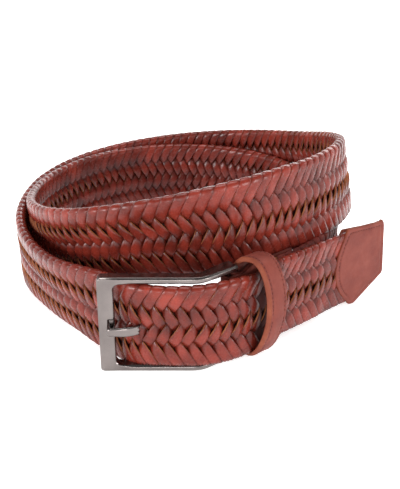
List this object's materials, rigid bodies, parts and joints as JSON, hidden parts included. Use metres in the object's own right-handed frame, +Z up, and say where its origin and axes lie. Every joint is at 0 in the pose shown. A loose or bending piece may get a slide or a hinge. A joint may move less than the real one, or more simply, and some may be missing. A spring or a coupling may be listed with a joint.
{
  "type": "stretch belt",
  "caption": "Woven leather stretch belt with a pin buckle, leather keeper and leather tip, fastened and coiled in two turns standing on its edge.",
  "frame": {"origin": "bottom centre of the coiled belt's bounding box, on the surface that it stands on", "axes": "+Z up along the strap's width, -Y towards the buckle, +X towards the tip that flares off the coil"},
  "size_m": [0.1715, 0.185, 0.0707],
  "materials": {
    "woven_leather": "semi-gloss",
    "plain_leather": "matt",
    "buckle_metal": "polished gunmetal"
  },
  "bodies": {
    "root": {"woven_strap": "woven_leather", "buckle_frame": "buckle_metal", "buckle_tongue": "buckle_metal", "buckle_tab": "plain_leather", "keeper": "plain_leather", "tip_tab": "plain_leather"}
  },
  "joints": []
}
